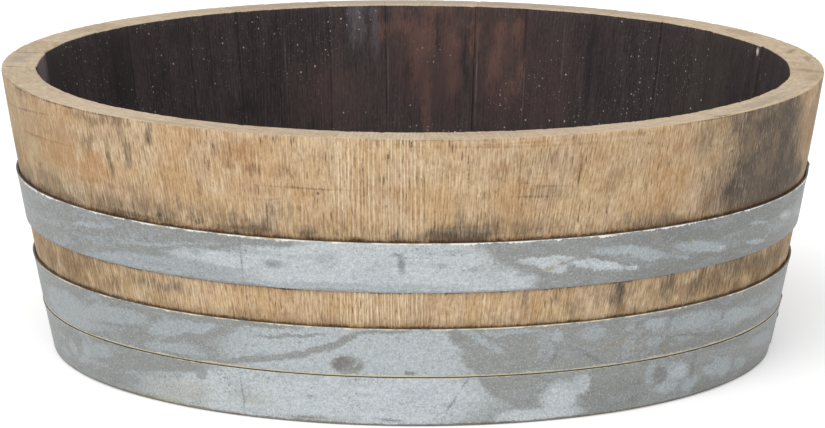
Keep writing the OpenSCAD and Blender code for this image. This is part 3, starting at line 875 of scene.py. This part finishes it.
def hoop_form(foot, width, lap_angle):
    """A hoop from its inner end, once round and up over that end. Its foot is a height."""
    form = bmesh.new()
    swept = form.verts.layers.float.new("swept")
    slant = math.atan2(wall(foot + width) - wall(foot), width)
    outwards = Vector((math.cos(slant), 0, -math.sin(slant)))
    seat = [foot + width * i / seat_steps for i in range(seat_steps + 1)]
    lips = [hoop_lip * max(0, (z - foot) / width - lip_start) / (1 - lip_start) for z in seat]
    inner = [Vector((wall(z), 0, z)) + outwards * lip for z, lip in zip(seat, lips)]
    outer = [point + outwards * hoop_thickness for point in inner]
    face = form.faces.new([form.verts.new(p) for p in outer + inner[::-1]])
    radius = wall(foot + width / 2)
    start = math.radians(lap_angle) - lap_length / radius / 2
    bmesh.ops.rotate(form, verts=form.verts, matrix=Matrix.Rotation(start, 3, "Z"))
    for vert in form.verts:
        vert[swept] = start
    step = math.radians(1)
    climbed = math.tau - lap_butt / radius
    end = math.tau + lap_length / radius
    last = [face, *face.edges, *face.verts]
    for number in range(1, math.ceil(end / step) + 1):
        angle = min(number * step, end)
        turned_by = angle - (number - 1) * step
        last = bmesh.ops.spin(form, geom=last, cent=(0, 0, 0), axis=(0, 0, 1), angle=turned_by,
                              steps=1)["geom_last"]
        share = 1 - min(max((climbed - angle) * radius / lap_climb, 0), 1)
        before = 1 - min(max((climbed - angle + turned_by) * radius / lap_climb, 0), 1)
        rise = (hoop_thickness + lap_gap) * (smooth(share) - smooth(before))
        ring = [v for v in last if isinstance(v, bmesh.types.BMVert)]
        lift = Matrix.Rotation(start + angle, 3, "Z") @ outwards * rise
        bmesh.ops.translate(form, verts=ring, vec=lift)
        for vert in ring:
            vert[swept] = start + angle
    bmesh.ops.recalc_face_normals(form, faces=form.faces)
    return form


BLOOM, LIGHT, BARE, DULL = "#CED4D7", "#B3BABD", "#9C9E9B", "#8B8C88"
DIRT, RUST, CREAM = "#74777A", "#A89872", "#B9B6A4"


def galvanised_steel(name, foot, top, edge_bands, blotches):
    """Zinc that has weathered: a whiter bloom with fine dark pits on it, bands of bare grey where
    something has run or rubbed, and a ragged band on each edge: on the upper one a crust where the
    zinc is thickest, painted lighter as a highlight of that edge, and on the lower one a colour
    given for each hoop. It is named for its hoop, with the heights of its edges, then the upper
    band's depth and colour, the lower one's colour and share, and the blotches."""
    zinc, tree, shader = new_material(name)
    place = add(tree, "UVMap", uv_map="Place")
    mottle = add(tree, "TexNoise", {"Vector": place, "Scale": 1 / 0.0040, "Detail": 5,
                                    "Roughness": 0.8})
    flow = drawn_out(tree, place, 0.040, 0.011, detail=4, roughness=0.6, distortion=0.6)
    steel = add(tree, "ValToRGB", {0: weigh(tree, [(mottle, 0.6), (flow, 0.5)])}, stops=[
        (0.42, "#8F918D"), (0.53, "#999B98"), (0.58, "#A0A3A1"), (0.66, "#ABB0B1"),
    ])
    flowed = ragged(tree, place, (0.0030, 0.0024), (0.0090, 0.0060), holes=0.35)
    spotted = ragged(tree, place, (0.0012, 0.0012), (0.005, 0.004), holes=0.8)
    for tint, marks in blotches:
        places, soft = (spotted, 0.7) if tint in (DIRT, RUST, CREAM) else (flowed, 0.22)
        steel = tinted(tree, steel, tint, stains(tree, places, marks, soft=soft))
    # Thin zinc shows through in flames
    steel = tinted(tree, steel, LIGHT, flow, 0.54, 0.57, 0.3)
    # The zinc's own grain is finer than a pixel, and is drawn two or so wide
    speckle = add(tree, "TexNoise", {"Vector": place, "Scale": 1 / 0.0018, "Detail": 3,
                                     "Roughness": 0.8})
    shade = weigh(tree, [(mottle, 0.5), (speckle, 0.5)])
    steel = tinted(tree, steel, "#6C7072", shade, 0.57, 0.42, 0.42)
    steel = tinted(tree, steel, "#D6DBDD", speckle, 0.54, 0.70, 0.45)
    crowd = add(tree, "TexNoise", {"Vector": place, "Scale": 1 / 0.022, "Detail": 2})
    pits = add(tree, "TexNoise", {"Vector": place, "Scale": 1 / 0.0020, "Detail": 2})
    pits = add(tree, "MapRange", {"Value": weigh(tree, [(pits, 1), (crowd, 0.4)]),
                                  "From Min": 0.80, "From Max": 0.92, "To Max": 0.7})
    steel = tinted(tree, steel, "#74787B", pits)
    crust_and_highlight_depth, crust_and_highlight_colour, foot_colour, foot_share = edge_bands
    edge = top - crust_and_highlight_depth
    height = add(tree, "SeparateXYZ", {
        0: ragged(tree, place, (0.0028, 0.0028), (0, 3.2 * crust_and_highlight_depth)),
    }).outputs["Y"]
    steel = tinted(tree, steel, foot_colour, height, foot + 0.0011, foot + 0.0007, foot_share)
    # A pale ragged crust along the upper edge, painted lighter as a highlight of that edge
    crust_and_highlight = add(tree, "TexNoise", {"Vector": place, "Scale": 1 / 0.018, "Detail": 4})
    crust_and_highlight = add(tree, "ValToRGB", {0: crust_and_highlight}, stops=[(0.38, "#C4B596"), (0.50, crust_and_highlight_colour)])
    steel = tinted(tree, steel, crust_and_highlight, height, edge - 0.0002, edge + 0.0002)
    # Dirt, and painted shade, on the edge that faces up: faces that turn upwards are darkened
    facing = add(tree, "SeparateXYZ", {0: add(tree, "NewGeometry").outputs["Normal"]})
    steel = tinted(tree, steel, "#4C4238", facing.outputs["Z"], 0.3, 0.8, 0.85)
    plug(tree, shader, {
        "Base Color": steel, "Metallic": 0.6,
        "Roughness": add(tree, "MapRange", {"Value": flow, "From Min": 0.3, "From Max": 0.7,
                                            "To Min": 0.45, "To Max": 0.6}),
        "Normal": add(tree, "Bump", {"Height": pits, "Strength": 0.3, "Distance": 0.0002},
                      invert=True),
    })
    return zinc


# Each hoop's foot and width, the angle of its lap, how far its rivets lie off its middle, its
# edge bands (the upper crust with its painted highlight, and the lower band) and its blotches
hoops = {
    "upper_hoop": (0.1110, 0.0405, 5.5, 0.007, (0.0015, "#F3F0E9", "#858685", 0.5), (
        (LIGHT, [
            (229, 119, 92, 9, 0.9, 6), (243, 117, 34, 9, 0.9), (219.3, 95.4, 31, 2, 1, 8),
            (237, 96.6, 58, 2, 1, 6),
        ]),
        (BLOOM, [
            (264.5, 104, 112, 40, 1), (246.5, 103.5, 70, 7, 1), (279.5, 115, 50, 12, 1, -4),
        ]),
        ("#B2BABE", [(262, 120, 80, 3.4, 0.8), (258.5, 99, 9, 8, 0.35)]),
        (BARE, [
            (283.8, 89.4, 52, 14, 1, -27.6), (238, 85, 70, 8.5, 1, 3), (247, 84.5, 50, 6, 1),
            (219, 114.3, 38, 1.8, 1, 6), (231.5, 103, 42, 2, 1, 9.5), (242, 94.5, 28, 1.8, 1, 8),
            (300, 90, 90, 14, 1), (296, 118, 52, 10, 1),
        ]),
        (DULL, [(325, 90, 160, 11, 0.9), (322, 119, 130, 8, 0.9), (318, 104, 90, 20, 0.5)]),
        (BLOOM, [
            (288.2, 100, 24, 3.4, 1), (289, 104.5, 15, 5, 1, -16), (296, 107.5, 26, 4, 1, -9),
            (302, 112, 8, 2.4, 1, -5),
        ]),
        ("#B9C0C3", [(299.5, 97.5, 26, 4, 1, -5), (303.5, 102.5, 22, 5, 1, -12)]),
        (BARE, [(300, 104.6, 30, 1.7, 0.9, -12)]),
        (LIGHT, [
            (314.6, 105.5, 34, 4.8, 1, -11), (310.6, 110.5, 11, 1, 0.9, -12),
            (327.8, 98, 17, 1.2, 1, -8), (328, 113.5, 19, 2, 1, -5),
            (338, 102.5, 20, 4, 0.8, -10), (346, 108, 20, 4, 0.5, -10),
        ]),
        (BLOOM, [(319.2, 109.5, 4, 2, 0.8), (337.5, 102, 9, 1.4, 0.7, -10)]),
        (DIRT, [
            (251, 103.5, 10, 3.6, 0.8), (268.7, 100, 2.8, 8, 0.9), (268, 92.5, 5, 1.4, 0.8),
            (274, 101, 7, 2.4, 0.6), (278.6, 104, 4, 2.4, 0.6), (239, 101, 7, 3, 0.5, -20),
            (246.3, 106, 0.8, 22, 0.7), (287.9, 118, 1.2, 6, 0.9), (288.6, 117, 5, 1.4, 0.6, 30),
            (285, 111, 6, 2, 0.6),
        ]),
        (LIGHT, [(30, 100, 60, 10, 0.9, 3), (75, 113, 80, 7, 0.9, -2), (160, 96, 40, 5, 0.8, 5)]),
        (BLOOM, [
            (111, 100, 34, 10, 1, 6), (123, 95, 34, 7, 1, -5), (132, 102, 22, 4, 0.9, -8),
            (44, 108, 24, 5, 1, -8), (37, 103, 14, 4, 0.8, 6),
        ]),
        (BARE, [
            (117, 99, 26, 2.6, 1, 24), (128, 104, 30, 2, 0.9, -8), (42, 106, 12, 1.6, 1, 20),
        ]),
        (DULL, [(56, 90, 60, 6, 0.9), (146, 112, 60, 7, 0.9, 4), (100, 108, 30, 3, 0.9, 8)]),
        (RUST, [
            (64, 118, 6, 2, 0.7), (289, 106.5, 5, 2.2, 1, 10), (290.6, 103.6, 5, 1.6, 1, 35),
            (291.5, 118, 4, 2.4, 0.6), (312, 97, 4, 4, 0.6), (305.2, 90, 6, 3, 0.5),
        ]),
    )),
    "lower_hoop": (0.0417, 0.0400, 96, 0, (0.0011, "#E6DAC2", "#D5CBAE", 0.8), (
        (LIGHT, [
            (207, 178, 60, 15, 0.8), (221, 168, 50, 7, 0.8, 4), (235, 167, 40, 9, 1, 10),
            (233, 186, 34, 9, 0.9),
        ]),
        ("#C2C9CC", [(261, 176, 116, 44, 1)]),
        (BARE, [
            (240, 155.6, 92, 3.4, 1, 1), (225.5, 183.5, 28, 3.4, 1, 6),
            (235, 175, 32, 3.2, 1, 14), (241.8, 164.5, 22, 4.4, 1, 22),
            (252.5, 162, 34, 1.5, 1, 5), (236, 190.5, 40, 2.2, 1), (245, 186.3, 26, 2.8, 1, 10),
            (250.8, 180.6, 24, 2.8, 1, 13), (256, 173, 21, 3, 1, 22),
            (260.6, 163, 19, 3.2, 1, 30), (266, 154.8, 26, 1.8, 1), (291, 172, 64, 34, 1),
            (277.3, 163, 18, 6.5, 1, -35), (279.2, 177, 15, 12, 1, -50),
        ]),
        (DULL, [
            (330, 158, 150, 7, 0.7), (330, 188, 120, 6, 0.7), (276.6, 160, 9, 4, 0.4, -30),
            (260.8, 184, 14, 8.5, 0.9), (269.6, 189.8, 5, 2.6, 0.9),
        ]),
        (LIGHT, [
            (280.2, 164.5, 14, 2.8, 1, -39), (282.3, 171, 7, 3.4, 1, -30),
            (284, 156.5, 24, 2.4, 0.8), (290.9, 163.5, 7, 5, 1, -40), (288.8, 163, 6, 6, 0.5),
            (289.6, 176, 8, 9, 0.5), (296.6, 163, 14, 7, 0.7), (303, 162, 5, 4, 0.7),
            (307.8, 163, 16, 5, 1, -5), (315.5, 166, 30, 8, 0.8, -4),
            (327.5, 174, 46, 6.5, 0.8, -6), (341, 178, 34, 5, 0.6, -6), (308, 178, 14, 4, 0.6),
        ]),
        (DULL, [
            (291.2, 177, 10, 1.8, 1, 68), (295.5, 179.5, 25, 2, 1, -27),
            (318, 181.5, 52, 1.6, 0.9, -7), (309.8, 163, 5, 7, 0.6), (322.3, 168, 4, 7, 0.8),
            (310, 184, 6, 7, 0.8),
        ]),
        ("#857E7B", [(260.1, 182.5, 7.5, 5, 1, 35)]),
        (LIGHT, [(262.2, 182, 1.3, 5, 0.7, -20)]),
        (DIRT, [(254, 168, 2, 2, 0.7), (248, 181, 5, 2, 0.6), (268, 160, 2, 2, 0.6)]),
        (LIGHT, [
            (24, 172, 70, 9, 0.9, -4), (66, 180, 50, 7, 0.9, 5), (158, 170, 60, 10, 0.8, 3),
        ]),
        (BLOOM, [
            (112, 178, 38, 11, 1, 4), (125, 172, 30, 8, 1, -6), (107, 168, 18, 5, 0.8),
            (50, 164, 26, 5, 1, -10), (57, 169, 16, 4, 0.8, 6),
        ]),
        (BARE, [(118, 175, 24, 2.6, 1, -26), (110, 182, 20, 2, 0.9, 12)]),
        (DULL, [
            (84, 164, 50, 5, 0.9, 6), (140, 184, 50, 5, 0.9, -5), (122, 168, 16, 3, 0.9, 30),
        ]),
        (RUST, [
            (74, 190, 8, 2, 0.7), (301.7, 172.5, 7, 1.6, 0.6, 45),
            (299.8, 176.5, 5, 1.4, 0.5, 20), (304, 179, 4, 1.2, 0.7), (310, 184, 4, 6, 0.4),
        ]),
    )),
    # The chime hoop's lower band is dark grey-brown, a dark line along its bottom by the floor
    "chime_hoop": (0.0015, 0.0398, 4, 0, (0.0008, "#D9CFB4", "#5E564E", 0.6), (
        (LIGHT, [(214, 208, 28, 10, 0.7, 10), (217, 203, 6, 7, 0.8), (227, 221, 50, 9, 0.8)]),
        ("#B9BDBF", [
            (211, 208, 7, 8, 0.8), (205.5, 212, 9, 6, 0.7), (216, 213, 8, 4, 0.7),
            (209, 219, 12, 3, 0.6, 8),
        ]),
        (BLOOM, [(255, 217, 172, 38, 1, 4)]),
        (CREAM, [(233, 222, 40, 12, 0.7), (246, 218, 22, 8, 0.5)]),
        (BARE, [
            (226, 205, 84, 4.5, 1, 6.5), (230, 196, 52, 4, 1, 3), (216, 226, 56, 8, 0.9, 8),
            (237.6, 202, 8, 5, 0.8, 40), (283.4, 202, 28, 11, 1, -32), (286.4, 212, 14, 10.5, 1),
            (287, 196, 24, 5, 1), (292, 196, 15, 6.5, 1), (304.5, 212, 45, 28, 1),
            (334, 212, 140, 30, 1),
        ]),
        (BLOOM, [(292.4, 214, 18, 14, 1), (295.6, 205, 9, 9, 0.9), (289, 228, 44, 6, 1)]),
        (DULL, [(302, 218, 34, 14, 0.5), (330, 198, 80, 4, 0.7, -4), (332, 229, 90, 6, 0.8)]),
        (LIGHT, [
            (308, 205, 6, 10, 0.7), (313.4, 208, 16, 9, 1), (311.6, 219, 14, 6, 1),
            (317, 221, 11, 8, 0.9), (322.6, 213, 18, 8, 0.9, -8), (326, 217, 12, 9, 0.8, -10),
            (331.5, 218, 14, 5, 0.7, -12), (340, 209, 44, 6, 0.6, -8),
        ]),
        (BLOOM, [(314, 209, 9, 5, 0.6)]),
        (DULL, [
            (310, 207.5, 9, 8, 1), (305.6, 218, 5, 12, 0.8), (317, 206, 5, 12, 0.9),
            (321, 208, 11, 3, 0.6), (320, 226, 14, 6, 0.6),
        ]),
        (DIRT, [
            (194.5, 231, 12, 4, 0.8), (334, 231.5, 8, 2, 0.9), (276, 214, 7, 1.3, 1, 58),
            (277.8, 197.5, 5, 1, 0.9, 54), (244.4, 215, 0.8, 19, 0.8), (241.8, 232, 18, 1.6, 1),
            (255, 229.5, 18, 1.4, 0.9, 4), (267, 228, 12, 1.2, 0.8, -3), (255, 211.5, 3, 2, 0.6),
            (233, 207, 5, 3, 0.4), (222.5, 228, 9, 1.4, 0.8),
        ]),
        (LIGHT, [(38, 210, 60, 8, 0.9, 5), (150, 214, 70, 9, 0.9, -3)]),
        (BLOOM, [
            (86, 215, 40, 11, 1, -3), (100, 210, 34, 8, 1, 5), (96, 222, 22, 5, 0.8),
            (22, 222, 26, 6, 1, 8),
        ]),
        (BARE, [(92, 214, 26, 2.6, 1, 30), (80, 219, 22, 2, 0.9, -10)]),
        (DULL, [(64, 202, 50, 5, 0.9, -4), (120, 226, 50, 5, 0.9, 3), (98, 208, 18, 3, 0.9, 26)]),
        (RUST, [(110, 231, 30, 2, 0.6), (228, 231, 50, 3, 0.6), (257, 230.5, 30, 1.6, 0.5)]),
    )),
}
for name, (foot, width, lap_angle, drop, edge_bands, blotches) in hoops.items():
    form = hoop_form(foot, width, lap_angle)
    place = form.loops.layers.uv.new("Place")
    swept = form.verts.layers.float["swept"]
    for face in form.faces:
        for loop in face.loops:
            loop[place].uv = (loop.vert[swept] * unrolled_radius, loop.vert.co.z)
    break_edges(form, square_edges(form), hoop_break)
    for vert in form.verts:
        around = Vector((vert.co.x, vert.co.y, 0))
        dent = noise.noise(Vector([c * pace for c, pace in zip(vert.co, dent_pace)]))
        vert.co -= around.normalized() * hoop_dent * dent
    steel = galvanised_steel("galvanised_" + name, foot, foot + width, edge_bands, blotches)
    finish_piece(form, "steel_" + name, [steel], [name])


# The rivets: two of soft steel through each hoop's lap, with a low round head outside. They have
# no zinc on them, so they have gone dark, dull and spotted with rust.
rivet_head = 0.0043
rivet_dome = 0.0027
rivet_spacing = 0.032
rivet_shank = 0.0025
dome_steps = 9
rust, tree, shader = new_material("rusted_rivet_steel")
spots = add(tree, "TexNoise", {"Vector": add(tree, "TexCoord").outputs["Object"],
                               "Scale": 1 / 0.003, "Detail": 3})
steel = add(tree, "ValToRGB", {0: spots}, stops=[
    (0.35, "#4A4442"), (0.55, "#6A6562"), (0.75, "#8B8580"),
])
plug(tree, shader, {"Base Color": steel, "Metallic": 0.5, "Roughness": 0.6})
dome = [
    (rivet_head * math.cos(a), rivet_dome * math.sin(a))
    for a in (math.radians(90 * i / dome_steps) for i in range(dome_steps))
]
for name, (foot, width, lap_angle, drop, *_) in hoops.items():
    radius = wall(foot + width / 2)
    slant = math.atan2(wall(foot + width) - wall(foot), width)
    form = bmesh.new()
    for side in (-1, 1):
        rivet = turned(form, [
            (rivet_shank, -2 * hoop_thickness), (rivet_shank, 0), *dome, (0, rivet_dome),
        ], steps=24)
        turn = math.radians(lap_angle) + side * rivet_spacing / 2 / radius
        seat = (
            Matrix.Rotation(turn, 4, "Z")
            @ Matrix.Translation((radius, 0, foot + width / 2))
            @ Matrix.Rotation(math.radians(90) + slant, 4, "Y")
            @ Matrix.Translation((-side * drop, 0, 2 * hoop_thickness + lap_gap))
        )
        bmesh.ops.transform(form, matrix=seat, verts=rivet)
    bmesh.ops.recalc_face_normals(form, faces=form.faces)
    finish_piece(form, "steel_" + name + "_rivets", [rust], [name + "_rivets"])


# The studio: a floor of white paper. The camera and reflections see it glow a little, so that it
# is white in the picture and keeps the shadow
floor_reach = 6
paper_glow = 0.35
floor_form = bmesh.new()
bmesh.ops.create_grid(floor_form, x_segments=1, y_segments=1, size=floor_reach)
floor = placed(floor_form, "floor")
paper, tree, shader = new_material("white_paper")
plug(tree, shader, {"Base Color": (0.85, 0.85, 0.85, 1), "Roughness": 0.9})
rays = add(tree, "LightPath")
seen = rays.outputs["Is Camera Ray"]
for other in ("Is Glossy Ray", "Is Transmission Ray"):
    seen = add(tree, "Math", {0: seen, 1: rays.outputs[other]}, operation="MAXIMUM")
glow = add(tree, "Emission", {
    "Color": (1, 1, 1, 1),
    "Strength": add(tree, "Math", {0: seen, 1: paper_glow}, operation="MULTIPLY"),
})
both = add(tree, "AddShader", {0: shader, 1: glow})
plug(tree, tree.nodes["Material Output"], {"Surface": both})
floor.data.materials.append(paper)

# Even light from all round, and a soft sun from the front, a little to the left
world_strength = 0.6
sun_strength = 1.5
sun_width = math.radians(40)
sun_side = Vector((-0.35, -1.0, 1.1))
world = bpy.data.worlds.new("studio")
bpy.context.scene.world = world
world.use_nodes = True
plug(world.node_tree, world.node_tree.nodes["Background"], {
    "Color": (1, 1, 1, 1), "Strength": world_strength,
})
key = bpy.data.objects.new("softbox", bpy.data.lights.new("softbox", "SUN"))
key.data.energy = sun_strength
key.data.angle = sun_width
key.rotation_euler = sun_side.to_track_quat("Z", "Y").to_euler()
bpy.context.scene.collection.objects.link(key)

# The camera, fitted to the photograph: it dips by so many degrees, and is rolled a little
camera_place = (0.000336, -3.53594, rim_height + 0.6032)
camera_dip = 11.684
camera_roll = 0.00445
camera = bpy.data.objects.new("camera", bpy.data.cameras.new("camera"))
camera.data.lens = 188.69
camera.data.sensor_width = 36
camera.matrix_world = (
    Matrix.Translation(camera_place)
    @ Matrix.Rotation(math.radians(90 - camera_dip), 4, "X")
    @ Matrix.Rotation(camera_roll, 4, "Z")
)
bpy.context.scene.collection.objects.link(camera)
bpy.context.scene.camera = camera
bpy.context.scene.view_settings.view_transform = "Standard"
